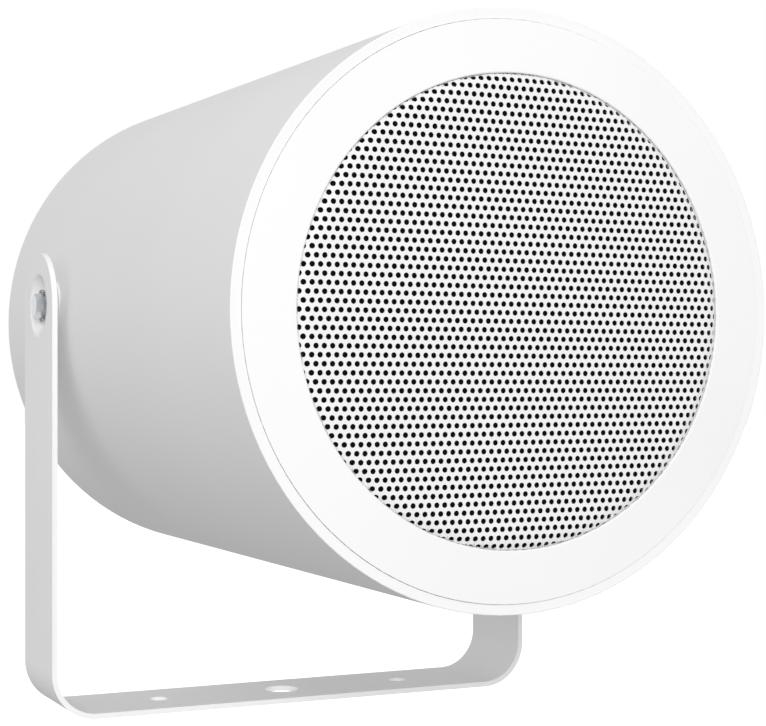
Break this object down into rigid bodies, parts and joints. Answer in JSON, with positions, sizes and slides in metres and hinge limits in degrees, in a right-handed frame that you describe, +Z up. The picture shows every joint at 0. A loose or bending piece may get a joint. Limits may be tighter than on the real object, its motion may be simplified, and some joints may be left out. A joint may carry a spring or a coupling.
{
  "type": "projection speaker",
  "caption": "Cylindrical loudspeaker with a dished perforated grille in a flush front ring, tilting on a folded strip bracket that screws to a wall or ceiling.",
  "frame": {"origin": "middle of the bracket's underside, on the axis of its centre hole", "axes": "+Z up out of the bracket's base, the grille faces -Y, +X to the right seen from the front"},
  "size_m": [0.151, 0.2211, 0.1814],
  "materials": {
    "white_shell": "fine satin moulded plastic, white",
    "white_steel": "satin white powder coat on steel",
    "zinc_steel": "bright zinc plate",
    "black_cloth": "black acoustic cloth",
    "spider_cloth": "stiffened cotton",
    "cone_paper": "dark pulp paper",
    "ferrite": "dull dark grey",
    "copper": "enamelled copper winding",
    "brass": "turned brass",
    "grey_plastic": "grey moulded nylon",
    "nylon": "natural nylon",
    "tag_card": "brown laminate",
    "ceramic": "glazed ceramic",
    "black_rubber": "soft black rubber and foam"
  },
  "bodies": {
    "bracket": {"bracket": "white_steel"},
    "speaker": {"housing_tube": "white_shell", "front_ring": "white_shell", "rear_cover": "white_shell", "grille": "white_steel", "pivot_bolts": "zinc_steel", "plain_washers": "zinc_steel", "lock_washers": "zinc_steel", "rear_cover_screws": "zinc_steel", "driver_screws": "zinc_steel", "transformer_strap": "zinc_steel", "transformer_screws": "zinc_steel", "block_screw": "zinc_steel", "clamp_screws": "zinc_steel", "driver_basket": "zinc_steel", "top_plate": "zinc_steel", "pole_yoke": "zinc_steel", "grille_cloth": "black_cloth", "surround": "black_cloth", "spider": "spider_cloth", "magnet": "ferrite", "transformer_core": "ferrite", "transformer_coil": "copper", "pivot_inserts": "brass", "terminal_clamps": "brass", "solder_tags": "brass", "gland_body": "grey_plastic", "gland_nut": "grey_plastic", "gland_locknut": "grey_plastic", "friction_washers": "nylon", "tag_board": "tag_card", "terminal_block": "ceramic", "driver_gasket": "black_rubber", "rear_seal": "black_rubber", "gland_washer": "black_rubber", "gland_seal": "black_rubber", "driver_leads": "black_rubber"},
    "cone": {"cone": "cone_paper", "dust_cap": "cone_paper", "voice_coil": "copper"}
  },
  "joints": [
    {"name": "tilt", "type": "hinge", "parent": "bracket", "child": "speaker", "pos_m": [0, 0, 0.1155], "axis": [-1, 0, 0], "range_deg": [-40, 220]},
    {"name": "cone_travel", "type": "slide", "parent": "speaker", "child": "cone", "axis": [0, -1, 0], "range_m": [-0.0025, 0.0025], "stiffness_N_per_m": 1200, "deforming": ["surround", "spider"]}
  ]
}
